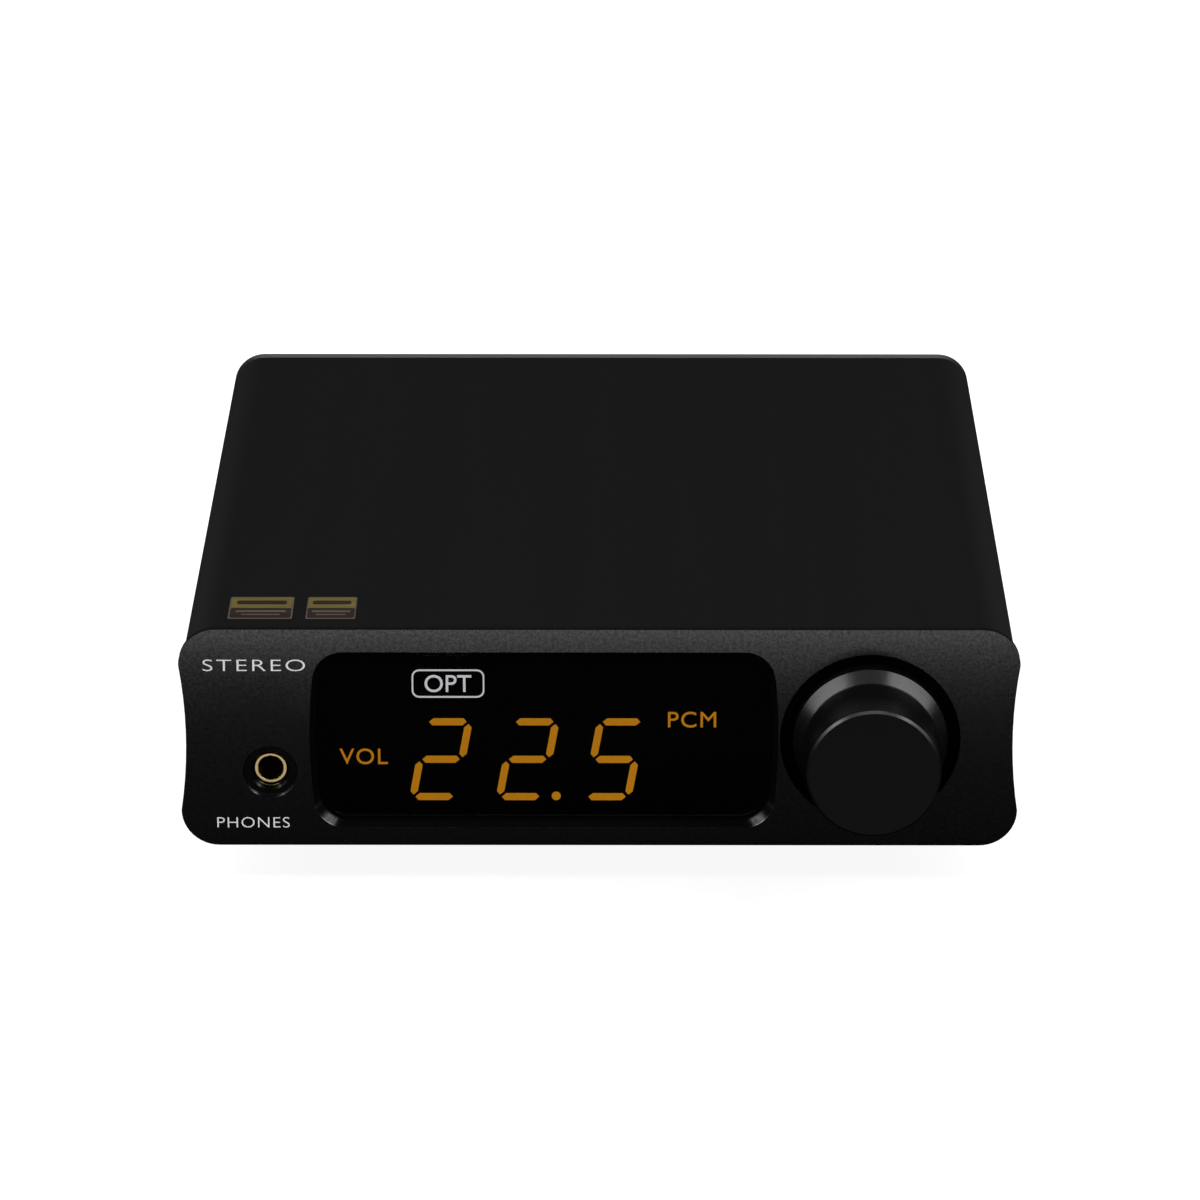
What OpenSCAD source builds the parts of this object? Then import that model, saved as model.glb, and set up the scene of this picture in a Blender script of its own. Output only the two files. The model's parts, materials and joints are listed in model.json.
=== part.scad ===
// A desktop digital-to-analogue converter: an aluminium sleeve between two end panels,
// with a display window, a headphone jack and a volume knob on its waisted front.
// X is to the right, Y to the rear, Z up, and z = 0 is the surface that the feet stand on.

/* [Body] */
// Width of the front panel at its widest points
panel_w = 120; // [118:1:126]
// Height of the front panel
panel_h = 33; // [33:0.5:36]
// Radius of the front panel's four corners
corner_r = 5.4; // [5:0.1:5.8]
// How far each side is hollowed at mid-height
waist = 0.88; // [0.6:0.02:1.2]
// Length from the front panel's face to the rear panel's face
body_l = 130.5; // [128:0.5:140]
// Height of the rubber feet
foot_h = 5.5; // [5:0.5:8]

/* [Window] */
// Width of the window's recess at mid-height
window_w = 67.1; // [64:0.1:67.2]
// Height of the window's recess
window_h = 26.9; // [26:0.1:27]
// Height of a display digit
digit_h = 12.6; // [11:0.1:14]

/* [Knob] */
// Diameter of the knob's grip
knob_d = 19; // [17:0.2:20]
// How far the knob's face stands out from the front panel
knob_out = 13.6; // [12:0.2:16]
// Diameter of the well that the knob sits in
well_d = 25.6; // [24.6:0.1:25.8]

/* [Sockets] */
// How far the rear sockets stand out from the rear panel
socket_out = 8.4; // [8:0.1:10]
// Bore of the headphone jack
jack_bore_d = 3.6; // [3.55:0.05:3.7]

/* [Hidden] */
$fn = 72;

// Places along Y are measured from the front panel's face, before at_front() moves them.
total_l = knob_out + body_l + socket_out;
front_y = knob_out - total_l / 2;
eps = 0.5;                        // how far a cutter runs past the face that it cuts

// Casing
foot_proud = 0.5;                 // the case is this much smaller than the panel all round
panel_bottom = foot_h - foot_proud;
panel_top = panel_bottom + panel_h;
mid_z = panel_bottom + panel_h / 2;
flange_t = 1.2;
spigot_end = 7.6;
rear_t = 2;
case_end = body_l - rear_t;
case_w = panel_w - 1.1;
case_h = panel_h - 2 * foot_proud;
case_r = corner_r - 0.4;
side_wall = 2;
flat_wall = 1.5;
case_bottom = foot_h;
case_top = case_bottom + case_h;
spigot_w = panel_w - 11.6;
spigot_h = case_h - 2 * flat_wall - 0.1;
boss_x = case_w / 2 - 5.2;
boss_z = case_h / 2 - 4.4;
boss_r = 3.2;
screw_r = 1.5;
hole_fit = 0.05;                  // radial clearance of a part in its hole
small_screw_r = 1.25;
small_screw_x = 47;
small_screw_y = 5.2;
small_head_r = 2.35;
foot_x = 45;
foot_front_y = 24;
foot_rear_y = body_l - 17;

// Boards
board_t = 1.6;
board_z = case_bottom + 6.5;
board_top = board_z + board_t;
board_half = case_w / 2 - side_wall - 1.05;
board_front = 16;
board_rear = case_end - 8;
front_board_y = 13.6;
front_board_end = front_board_y + board_t;
ribbon_w = 18;
ribbon_z = board_top + 1.6;
ribbon_start = front_board_end + 2.6;
ribbon_stop = 30;

// Window and display
window_x = -7.9;
window_z = panel_top - 3.4 - window_h / 2;
window_r = 4.6;
window_bow = 1;
window_edge = 0.9;                // chamfer round the recess
recess_r = window_r * (window_h - 2 * window_edge) / window_h;
tape_w = window_w - 2 * (window_edge + window_bow) - 0.7;
tape_h = window_h - 2 * window_edge - 0.7;
tape_r = 3.3;
pane_y = 1.9;
pane_t = 1.2;
tape_t = 0.2;
recess_d = pane_y + pane_t + tape_t;
pane_gap = 0.15;
aperture_w = 61;
aperture_h = 21.6;
module_y = 3.5;
glow_t = 0.1;                     // thickness of a lit segment
glow_y = module_y - glow_t;
segment_t = 1.06;
segment_gap = 0.68;
slant = 10.2;
digit_w = 7.1;
digit_z = panel_top - 20.93;
digit_x = [-22.75, -10.3, 2.15];
point_x = -6.2;
point_r = 0.65;

// Knob and encoder
knob_x = 38.75;
knob_z = mid_z - 0.15;
well_depth = 3.2;
well_edge = 0.12;                 // chamfer round the well
skirt_r = 11;
skirt_rear = 1.6;
skirt_shoulder = -0.9;
skirt_top = -2.9;
rim = 0.35;                       // chamfer round the knob's face
set_screw_y = -6;
shaft_r = 3;
shaft_flat = 1.5;
shaft_end = -10.3;
bushing_r = 3.5;
running_fit = 0.06;               // radial clearance round the shaft
plunger_y = 10.6;

// Headphone jack
jack_x = -47.15;
jack_z = panel_top - 21.7;
jack_ring_r = 2.375;
jack_ring_y = 1.6;
jack_body_y = 8;
jack_end = 20.5;
jack_dish_r = 3.75;
jack_dish_d = 0.5;
jack_dish_edge = 0.22;            // chamfer round the dish

// Rear sockets
socket_z = mid_z;
rca_left_x = -47.5;
rca_right_x = -33.5;
antenna_x = -20.5;
coax_x = -7;
optical_x = 8;
usb_x = 22;
dc_x = 34.5;
switch_x = 46.5;
rca_r = 4.15;
rca_inner_r = 3.3;
rca_pin_r = 1.65;
rca_front = body_l - 9;
antenna_r = 3.1;
antenna_hex = 8;
antenna_hex_t = 2;
dc_r = 4;
socket_tip = body_l + socket_out;
optical_w = 10.6;
optical_h = 11.6;
optical_y = body_l - 14.2;
optical_face = body_l + 0.5;
shutter_w = 8;
shutter_z = socket_z + 4.35;
shutter_y = optical_face - 1.9;
shutter_pin_r = 0.4;
switch_w = 9.4;
switch_h = 14.6;
rocker_w = 6.6;
rocker_y = body_l - 2.4;
rocker_tilt = 11;
trunnion_r = 1;

module at_front() { translate([0, front_y, 0]) children(); }

// A round bar along Y, from y0 to y1
module bar_y(r, y0, y1) {
    translate([0, y0, 0]) rotate([-90, 0, 0]) cylinder(r = r, h = y1 - y0);
}

// A cone along Y, of radius r0 at y0 and r1 at y1
module cone_y(r0, r1, y0, y1) {
    translate([0, y0, 0]) rotate([-90, 0, 0]) cylinder(r1 = r0, r2 = r1, h = y1 - y0);
}

// A hexagonal bar along Y, given its size across the flats
module hex_y(across, y0, y1) {
    translate([0, y0, 0]) rotate([-90, 0, 0]) cylinder(r = across / sqrt(3), h = y1 - y0, $fn = 6);
}

// An outline drawn in X and Z, made solid from y0 to y1
module slab_y(y0, y1) {
    translate([0, y1, 0]) rotate([90, 0, 0]) linear_extrude(height = y1 - y0) children();
}

// A block centred on x and z, from y0 to y1
module block_y(w, h, y0, y1) {
    translate([-w / 2, y0, -h / 2]) cube([w, y1 - y0, h]);
}

module rounded(w, h, r) {
    square([w, h - 2 * r], center = true);
    square([w - 2 * r, h], center = true);
    for (x = [-1, 1], z = [-1, 1]) translate([x * (w / 2 - r), z * (h / 2 - r)]) circle(r = r);
}

// The body's outline: rounded corners, and sides that are hollowed between them
module waisted(w, h, r, hollow) {
    half = panel_h / 2 - corner_r;
    arc_r = (half * half + hollow * hollow) / (2 * hollow);
    difference() {
        rounded(w, h, r);
        for (s = [-1, 1]) translate([s * (w / 2 - hollow + arc_r), 0]) circle(r = arc_r, $fn = 360);
    }
}

// The window's outline: sides that bow outwards, with corners of radius r that run into them
module bowed(w, h, r, bow) {
    side_r = (h * h / 4 + bow * bow) / (2 * bow);
    tilt = asin((h / 2 - r) / (side_r - r));
    corner_x = w / 2 - side_r + (side_r - r) * cos(tilt);
    reach = 3 * r;
    difference() {
        intersection() {
            square([w, h], center = true);
            translate([w / 2 - side_r, 0]) circle(r = side_r, $fn = 360);
            translate([side_r - w / 2, 0]) circle(r = side_r, $fn = 360);
        }
        for (x = [0, 1], z = [0, 1]) mirror([x, 0]) mirror([0, z]) translate([corner_x, h / 2 - r])
            polygon([[0, 0], [reach * cos(tilt), reach * sin(tilt)], [reach, reach], [0, reach]]);
    }
    for (x = [-1, 1], z = [-1, 1]) translate([x * corner_x, z * (h / 2 - r)]) circle(r = r);
}

module front_panel() {
    color("#2b2b2d") at_front() difference() {
        union() {
            translate([0, 0, mid_z]) slab_y(0, flange_t) waisted(panel_w, panel_h, corner_r, waist);
            translate([0, 0, mid_z]) slab_y(flange_t, spigot_end) difference() {
                square([spigot_w, spigot_h], center = true);
                for (x = [-1, 1], z = [-1, 1]) translate([x * boss_x, z * boss_z]) circle(r = boss_r + 0.3);
            }
        }
        translate([window_x, 0, window_z]) {
            slab_y(-eps, recess_d) recess_outline(0);
            window_chamfer();
            slab_y(0, spigot_end + eps) rounded(aperture_w, aperture_h, 2);
        }
        translate([knob_x, 0, knob_z]) {
            bar_y(well_d / 2, -eps, well_depth);
            cone_y(well_d / 2 + well_edge + eps, well_d / 2, -eps, well_edge);
            bar_y(bushing_r + hole_fit, well_depth - eps, spigot_end + eps);
        }
        translate([jack_x, 0, jack_z]) {
            bar_y(jack_dish_r, -eps, jack_dish_d);
            cone_y(jack_dish_r + jack_dish_edge + eps, jack_dish_r, -eps, jack_dish_edge);
            cone_y(jack_ring_r + 0.55, jack_ring_r + 0.1, jack_dish_d, jack_dish_d + 0.45);
            bar_y(jack_ring_r + hole_fit, 0, spigot_end + eps);
        }
        for (x = [-1, 1]) translate([x * small_screw_x, small_screw_y, case_bottom - eps])
            cylinder(r = small_screw_r, h = 7 + eps);
    }
}

// The outline of the recess inside its chamfer, drawn in by an inset
module recess_outline(inset) {
    edge = window_edge + inset;
    bowed(window_w - 2 * edge, window_h - 2 * edge, recess_r - inset, window_bow);
}

// Cuts the chamfer round the window's recess
module window_chamfer() {
    slope_w = window_w / (window_w - 2 * window_edge);
    slope_h = window_h / (window_h - 2 * window_edge);
    translate([0, window_edge, 0]) rotate([90, 0, 0])
        linear_extrude(height = window_edge, scale = [slope_w, slope_h], slices = 1)
            recess_outline(0, $fn = 48);
}

module case_shell() {
    color("#1b1b1d") at_front() difference() {
        translate([0, 0, mid_z]) slab_y(flange_t, case_end) difference() {
            union() {
                difference() {
                    waisted(case_w, case_h, case_r, waist);
                    waisted(case_w - 2 * side_wall, case_h - 2 * flat_wall, case_r - flat_wall, waist);
                }
                intersection() {
                    waisted(case_w, case_h, case_r, waist);
                    union() {
                        for (x = [-1, 1], z = [-1, 1]) translate([x * boss_x, z * boss_z]) circle(r = boss_r);
                        for (x = [-1, 1]) translate([x * (board_half + 1), board_z + board_t / 2 - mid_z])
                            square([5.4, board_t + 2.8], center = true);
                    }
                }
            }
            for (x = [-1, 1], z = [-1, 1]) translate([x * boss_x, z * boss_z]) circle(r = screw_r);
            translate([0, board_z + board_t / 2 - mid_z]) square([2 * board_half, board_t], center = true);
        }
        for (x = [-1, 1]) translate([x * small_screw_x, small_screw_y, case_bottom]) {
            cylinder(r1 = small_head_r, r2 = small_screw_r, h = 1.1);
            translate([0, 0, -eps]) cylinder(r = small_screw_r, h = 3 + eps);
            translate([0, 0, -eps]) cylinder(r = small_head_r, h = eps);
        }
    }
}

module rear_panel() {
    color("#1b1b1d") at_front() difference() {
        translate([0, 0, mid_z]) slab_y(case_end, body_l) waisted(case_w, case_h, case_r, waist);
        translate([0, 0, mid_z]) for (x = [-1, 1], z = [-1, 1]) translate([x * boss_x, 0, z * boss_z])
            bar_y(screw_r, case_end - eps, body_l + eps);
        translate([0, 0, socket_z]) {
            for (x = [rca_left_x, rca_right_x, coax_x]) translate([x, 0, 0])
                bar_y(rca_r + hole_fit, case_end - eps, body_l + eps);
            translate([antenna_x, 0, 0]) bar_y(antenna_r + hole_fit, case_end - eps, body_l + eps);
            translate([dc_x, 0, 0]) bar_y(dc_r + hole_fit, case_end - eps, body_l + eps);
            translate([optical_x, 0, 0]) block_y(optical_w, optical_h, case_end - eps, body_l + eps);
            translate([usb_x, 0, 0]) slab_y(case_end - eps, body_l + eps) usb_outline(0.15);
            translate([switch_x, 0, 0]) block_y(switch_w - 1, switch_h - 1.6, case_end - eps, body_l + eps);
        }
    }
}

// Button-head screws with a hexagonal socket, one in each corner of the rear panel
module rear_panel_screws() {
    color("#303033") at_front() translate([0, 0, mid_z])
        for (x = [-1, 1], z = [-1, 1]) translate([x * boss_x, 0, z * boss_z]) difference() {
            union() {
                bar_y(screw_r, case_end - 6, body_l);
                cone_y(2.7, 2.1, body_l + 0.6, body_l + 1.5);
                bar_y(2.7, body_l, body_l + 0.6);
            }
            hex_y(2, body_l + 0.5, body_l + 2);
        }
}

// Countersunk screws that hold the front panel's spigot in the sleeve, from below
module front_panel_screws() {
    color("#303033") at_front()
        for (x = [-1, 1]) translate([x * small_screw_x, small_screw_y, case_bottom]) difference() {
            union() {
                cylinder(r1 = small_head_r, r2 = small_screw_r, h = 1.1);
                cylinder(r = small_screw_r, h = 6.5);
            }
            translate([0, 0, -eps]) cylinder(r = 1.5 / sqrt(3), h = eps + 1, $fn = 6);
        }
}

// A stuck-on rubber foot, dished underneath
module foot(x, y) {
    color("#151515") at_front() translate([x, y, 0]) difference() {
        cylinder(r1 = 6.9, r2 = 7.5, h = foot_h);
        translate([0, 0, -eps]) cylinder(r = 4, h = eps + 0.6);
    }
}

module foot_front_left() { foot(-foot_x, foot_front_y); }
module foot_front_right() { foot(foot_x, foot_front_y); }
module foot_rear_left() { foot(-foot_x, foot_rear_y); }
module foot_rear_right() { foot(foot_x, foot_rear_y); }

module display_window() {
    color("#050505") at_front() translate([window_x, 0, window_z]) slab_y(pane_y, pane_y + pane_t)
        recess_outline(pane_gap);
}

// Double-sided tape between the window and the floor of its recess
module window_tape() {
    color("#101010") at_front() translate([window_x, 0, window_z]) slab_y(pane_y + pane_t, recess_d)
        difference() {
            rounded(tape_w, tape_h, tape_r);
            rounded(aperture_w + 0.4, aperture_h + 0.4, 2.5);
        }
}

module display_module() {
    color("#0c0c0c") at_front() translate([window_x, 0, window_z])
        slab_y(module_y, front_board_y) rounded(aperture_w - 0.4, aperture_h - 0.4, 1.8);
}

// One lit bar, pointed at both ends, centred on the origin and lying along X
module segment(l) {
    polygon([[-l / 2, 0], [-l / 2 + segment_t / 2, segment_t / 2], [l / 2 - segment_t / 2, segment_t / 2],
             [l / 2, 0], [l / 2 - segment_t / 2, -segment_t / 2], [-l / 2 + segment_t / 2, -segment_t / 2]]);
}

// A seven-segment digit: lit holds the bars that glow, in the order a to g
module digit(lit) {
    run = (digit_h - segment_t) / 2;
    across = digit_w - segment_t;
    places = [[0, run, 0], [across / 2, run / 2, 90], [across / 2, -run / 2, 90], [0, -run, 0],
              [-across / 2, -run / 2, 90], [-across / 2, run / 2, 90], [0, 0, 0]];
    multmatrix([[1, tan(slant), 0, 0], [0, 1, 0, 0], [0, 0, 1, 0]])
        for (i = lit) translate([places[i][0], places[i][1]]) rotate(places[i][2])
            segment((places[i][2] == 0 ? across : run) - segment_gap);
}

module display_digits() {
    two = [0, 1, 6, 4, 3];
    five = [0, 5, 6, 2, 3];
    color("#ff9a1a") at_front() translate([0, 0, digit_z]) slab_y(glow_y, module_y) {
        translate([digit_x[0], 0]) digit(two);
        translate([digit_x[1], 0]) digit(two);
        translate([digit_x[2], 0]) digit(five);
        translate([point_x, -digit_h / 2 + point_r]) circle(r = point_r);
    }
}

// Lit legends beside the digits, each a plain bar or frame
module input_legend() {
    w = 10.4;
    h = 4.3;
    line = 0.27;
    color("#e8e8e8") at_front() translate([-21.65, 0, panel_top - 9.3]) slab_y(glow_y, module_y) {
        difference() {
            rounded(w, h, 1.1);
            rounded(w - 2 * line, h - 2 * line, 1.1 - line);
        }
        square([6.8, 2.2], center = true);
    }
}

module volume_legend() {
    color("#ff9a1a") at_front() translate([-33.85, 0, panel_top - 20.5]) slab_y(glow_y, module_y)
        square([6.9, 2.4], center = true);
}

module format_legend() {
    color("#ff9a1a") at_front() translate([13.3, 0, panel_top - 14.8]) slab_y(glow_y, module_y)
        square([6.9, 2.4], center = true);
}

module front_board() {
    color("#0f3d24") at_front() difference() {
        translate([-42.5, front_board_y, 8.2]) cube([93, board_t, 27.2]);
        translate([knob_x, 0, knob_z]) bar_y(2, front_board_y - eps, front_board_end + eps);
    }
}

module ir_receiver() {
    color("#0a0a0a") at_front() translate([25, 0, window_z]) {
        block_y(3.4, 5, front_board_y - 4, front_board_y);
        translate([0, 0, 0.4]) bar_y(1.3, front_board_y - 5, front_board_y - 4);
    }
}

module ribbon_sockets() {
    color("#d9d5c8") at_front() {
        translate([-ribbon_w / 2 - 1, front_board_end, ribbon_z - 1.4]) cube([ribbon_w + 2, 2.6, 2.8]);
        translate([-ribbon_w / 2 - 1, ribbon_stop, board_top]) cube([ribbon_w + 2, 4, 3]);
    }
}

// A flat cable that arches from one socket to the other
module ribbon_cable() {
    span = ribbon_stop - ribbon_start;
    rise = 2;
    arch_r = (span * span / 4 + rise * rise) / (2 * rise);
    color("#b9c4c9") at_front()
        translate([-ribbon_w / 2, (ribbon_start + ribbon_stop) / 2, ribbon_z + rise - arch_r])
        rotate([90, 0, 90]) linear_extrude(height = ribbon_w) intersection() {
            difference() {
                circle(r = arch_r);
                circle(r = arch_r - 0.2);
            }
            translate([-span / 2, arch_r - rise - 1]) square([span, rise + 2]);
        }
}

module main_board() {
    color("#0f3d24") at_front() {
        translate([-board_half, board_front, board_z])
            cube([2 * board_half, board_rear - board_front, board_t]);
        translate([-52, 8, board_z]) cube([9, board_front - 8 + eps, board_t]);
    }
}

module volume_knob() {
    color("#1e1e20") at_front() translate([knob_x, 0, knob_z]) difference() {
        union() {
            bar_y(skirt_r, skirt_shoulder, skirt_rear);
            cone_y(knob_d / 2, skirt_r, skirt_top, skirt_shoulder);
            bar_y(knob_d / 2, -knob_out + rim, skirt_top);
            cone_y(knob_d / 2 - rim, knob_d / 2, -knob_out, -knob_out + rim);
        }
        bar_y(8.4, -2.5, skirt_rear + eps);
        bar_y(shaft_r, shaft_end, 0);
        translate([0, set_screw_y, -knob_d]) cylinder(r = screw_r, h = knob_d - shaft_r + eps);
    }
}

// The grub screw that presses on the shaft's flat
module knob_set_screw() {
    color("#3a3a3c") at_front() translate([knob_x, set_screw_y, knob_z - shaft_flat - 4.5]) difference() {
        cylinder(r = screw_r, h = 4.5);
        translate([0, 0, -eps]) cylinder(r = 1.5 / sqrt(3), h = 1.5 + eps, $fn = 6);
    }
}

module encoder_shaft() {
    color("#c9c9cc") at_front() translate([knob_x, 0, knob_z]) difference() {
        bar_y(shaft_r, shaft_end, plunger_y - 0.05);
        translate([-shaft_r - 1, shaft_end - 1, -shaft_r - 2])
            cube([2 * shaft_r + 2, 9.3, 2 + shaft_r - shaft_flat]);
    }
}

module encoder_body() {
    color("#26282b") at_front() translate([knob_x, 0, knob_z]) difference() {
        union() {
            block_y(13.4, 12.4, spigot_end, front_board_y);
            bar_y(bushing_r, 0.4, spigot_end);
        }
        bar_y(shaft_r + running_fit, 0.4 - eps, 12.2);
        bar_y(5.4, 8.6, 12.2);
    }
}

module encoder_nut() {
    color("#b8b8bc") at_front() translate([knob_x, 0, knob_z]) difference() {
        hex_y(10, well_depth - 2.4, well_depth - 0.4);
        bar_y(bushing_r, 0, well_depth);
    }
}

module encoder_washer() {
    color("#b8b8bc") at_front() translate([knob_x, 0, knob_z]) difference() {
        bar_y(6, well_depth - 0.4, well_depth);
        bar_y(bushing_r, 0, well_depth + eps);
    }
}

// The stem behind the shaft that works the push switch
module encoder_plunger() {
    color("#d8d8d0") at_front() translate([knob_x, 0, knob_z]) bar_y(2, plunger_y, plunger_y + 0.9);
}

// The contact disc round the shaft: it turns with the knob and stays where it is when the knob is pushed
module encoder_rotor() {
    color("#ece8da") at_front() translate([knob_x, 0, knob_z]) difference() {
        bar_y(5, 9, 10);
        bar_y(shaft_r + running_fit, 8, 11);
    }
}

module headphone_jack_ring() {
    color("#d6b15e") at_front() translate([jack_x, 0, jack_z]) difference() {
        bar_y(jack_ring_r, jack_ring_y, jack_body_y);
        bar_y(jack_bore_d / 2, jack_ring_y - eps, jack_body_y + eps);
    }
}

module headphone_jack_body() {
    color("#141414") at_front() translate([jack_x, 0, jack_z]) difference() {
        translate([-3.5, jack_body_y, board_top - jack_z])
            cube([7, jack_end - jack_body_y, 2 * (jack_z - board_top)]);
        bar_y(jack_bore_d / 2, jack_body_y - eps, jack_end - 2);
    }
}

// Solder legs beside the jack's body
module headphone_jack_contacts() {
    color("#d9c07a") at_front() translate([jack_x, 0, board_top])
        for (x = [-4.5, 3.5], y = [10, 14, 18]) translate([x, y, 0]) cube([1, 1, 0.8]);
}

// A phono socket's metal barrel, with its flange against the rear panel
module socket_shell(x, metal) {
    color(metal) at_front() translate([x, 0, socket_z]) difference() {
        union() {
            bar_y(rca_r, rca_front, socket_tip);
            bar_y(5.6, body_l, body_l + 1.2);
        }
        bar_y(rca_inner_r, rca_front - eps, socket_tip + eps);
    }
}

module socket_insulator(x, tint) {
    color(tint) at_front() translate([x, 0, socket_z]) difference() {
        bar_y(rca_inner_r, rca_front, socket_tip - 0.7);
        bar_y(rca_pin_r, socket_tip - 1.7, socket_tip);
        bar_y(rca_pin_r + 0.35, rca_front - eps, socket_tip - 1.7);
    }
}

module socket_contact(x) {
    color("#d6b15e") at_front() translate([x, 0, socket_z]) difference() {
        bar_y(rca_pin_r + 0.35, rca_front - 3, socket_tip - 1.7);
        bar_y(rca_pin_r, rca_front, socket_tip);
    }
}

module rca_left_shell() { socket_shell(rca_left_x, "#d6b15e"); }
module rca_left_insulator() { socket_insulator(rca_left_x, "#e9e9e6"); }
module rca_left_contact() { socket_contact(rca_left_x); }
module rca_right_shell() { socket_shell(rca_right_x, "#d6b15e"); }
module rca_right_insulator() { socket_insulator(rca_right_x, "#b3201c"); }
module rca_right_contact() { socket_contact(rca_right_x); }
module coax_shell() { socket_shell(coax_x, "#d6b15e"); }
module coax_insulator() { socket_insulator(coax_x, "#161616"); }
module coax_contact() { socket_contact(coax_x); }

// The nuts that clamp the phono sockets' barrels behind the rear panel
module socket_nuts() {
    color("#b8b8bc") at_front() for (x = [rca_left_x, rca_right_x, coax_x]) translate([x, 0, socket_z])
        difference() {
            hex_y(11, case_end - 2.4, case_end);
            bar_y(rca_r, case_end - 3, case_end + eps);
        }
}

// The optical input's housing, open at the rear, with a pocket in its roof for the shutter's barrel
module optical_port() {
    color("#111111") at_front() translate([optical_x, 0, socket_z]) difference() {
        block_y(optical_w, optical_h, optical_y, optical_face);
        translate([0, 0, -0.15]) block_y(7, 6.9, optical_face - 1, optical_face + eps);
        block_y(8.7, 8.6, optical_y + 3, optical_face - 0.9);
        translate([0, 0, 2.6]) block_y(8.7, 5.6, optical_y + 3, optical_face - 0.9);
        translate([-optical_w / 2 - eps, shutter_y, shutter_z - socket_z]) rotate([0, 90, 0])
            cylinder(r = shutter_pin_r, h = optical_w + 2 * eps);
    }
}

// The flap that closes the optical input: it swings in and up on its pin
module optical_shutter() {
    color("#1c1c1c") at_front() translate([optical_x, shutter_y, shutter_z]) rotate([0, 90, 0]) difference() {
        union() {
            translate([0, 0, -shutter_w / 2]) cylinder(r = 0.8, h = shutter_w - 1.8);
            translate([0, -0.05, -shutter_w / 2]) cube([8.1, 0.75, shutter_w - 1.8]);
            translate([1.4, -0.05, -shutter_w / 2]) cube([6.7, 0.75, shutter_w]);
        }
        translate([0, 0, -shutter_w]) cylinder(r = shutter_pin_r + 0.05, h = 2 * shutter_w);
    }
}

module shutter_pin() {
    color("#b8b8bc") at_front() translate([optical_x - optical_w / 2, shutter_y, shutter_z])
        rotate([0, 90, 0]) cylinder(r = shutter_pin_r, h = optical_w);
}

// The turns of the shutter's return spring, round its pin
module shutter_spring() {
    wire_r = 0.12;
    color("#c9c9cc") at_front() translate([optical_x + shutter_w / 2 - 1.4, shutter_y, shutter_z])
        rotate([0, 90, 0]) for (i = [0:3]) translate([0, 0, i * 2.2 * wire_r]) rotate_extrude()
            translate([shutter_pin_r + wire_r, 0]) circle(r = wire_r);
}

module usb_outline(grow) {
    w = 8.94 + 2 * grow;
    h = 3.26 + 2 * grow;
    square([w - h, h], center = true);
    for (s = [-1, 1]) translate([s * (w - h) / 2, 0]) circle(r = h / 2);
}

module usb_port_shell() {
    color("#b9b9bd") at_front() translate([usb_x, 0, socket_z]) difference() {
        slab_y(body_l - 7.6, body_l + 0.3) usb_outline(0);
        slab_y(body_l - 7, body_l + 0.3 + eps) usb_outline(-0.3);
    }
}

module usb_port_tongue() {
    color("#121212") at_front() translate([usb_x, 0, socket_z]) block_y(6.7, 0.7, body_l - 7, body_l - 0.5);
}

module dc_inlet() {
    color("#141414") at_front() translate([dc_x, 0, socket_z]) difference() {
        union() {
            block_y(9.4, 11, body_l - 14, case_end);
            bar_y(dc_r, case_end, body_l + 0.3);
        }
        bar_y(3.1, body_l - 9.4, body_l + 1);
        bar_y(1, body_l - 13, body_l);
    }
}

module dc_inlet_pin() {
    color("#c9c9cc") at_front() translate([dc_x, 0, socket_z]) {
        bar_y(1, body_l - 13, body_l - 1);
        translate([0, body_l - 1, 0]) sphere(r = 1);
    }
}

module power_switch_body() {
    color("#121212") at_front() translate([switch_x, 0, socket_z]) difference() {
        union() {
            block_y(switch_w, switch_h, body_l, body_l + 1.2);
            block_y(switch_w - 1, switch_h - 1.6, body_l - 11, body_l);
        }
        block_y(rocker_w + 0.6, switch_h - 2.8, body_l - 7.4, body_l + 2);
        translate([-switch_w / 2, rocker_y, 0]) rotate([0, 90, 0])
            cylinder(r = trunnion_r + running_fit, h = switch_w);
    }
}

// The rocker, drawn level about its pivot and then tipped to its "on" side
module power_rocker() {
    half = 4.85;
    color("#0d0d0d") at_front() translate([switch_x, rocker_y, socket_z]) rotate([rocker_tilt, 0, 0]) {
        rotate([90, 0, 90]) translate([0, 0, -rocker_w / 2]) linear_extrude(height = rocker_w)
            polygon([[3.2, 0], [4.1, half], [2.4, half], [-1.4, 2],
                     [-2.4, 0], [-1.4, -2], [2.4, -half], [4.1, -half]]);
        translate([-rocker_w / 2 - 0.6, 0, 0]) rotate([0, 90, 0])
            cylinder(r = trunnion_r, h = rocker_w + 1.2);
    }
}

// The threaded socket that a wireless antenna screws on to, with its hexagon outside the rear panel
module antenna_socket() {
    color("#d6b15e") at_front() translate([antenna_x, 0, socket_z]) {
        difference() {
            union() {
                bar_y(antenna_r, case_end - 3, socket_tip);
                hex_y(antenna_hex, body_l, body_l + antenna_hex_t);
            }
            bar_y(2.2, socket_tip - 5, socket_tip + eps);
        }
        bar_y(0.45, socket_tip - 5, socket_tip - 1);
    }
}

module antenna_nut() {
    color("#d6b15e") at_front() translate([antenna_x, 0, socket_z]) difference() {
        hex_y(antenna_hex, case_end - 2, case_end);
        bar_y(antenna_r, case_end - 3, case_end + eps);
    }
}

module bluetooth_module() {
    color("#9aa0a6") at_front() translate([-26, 92, board_top]) {
        cube([13, 18, 0.8]);
        translate([1.5, 4, 0.8]) cube([10, 12, 1.6]);
    }
}

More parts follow.
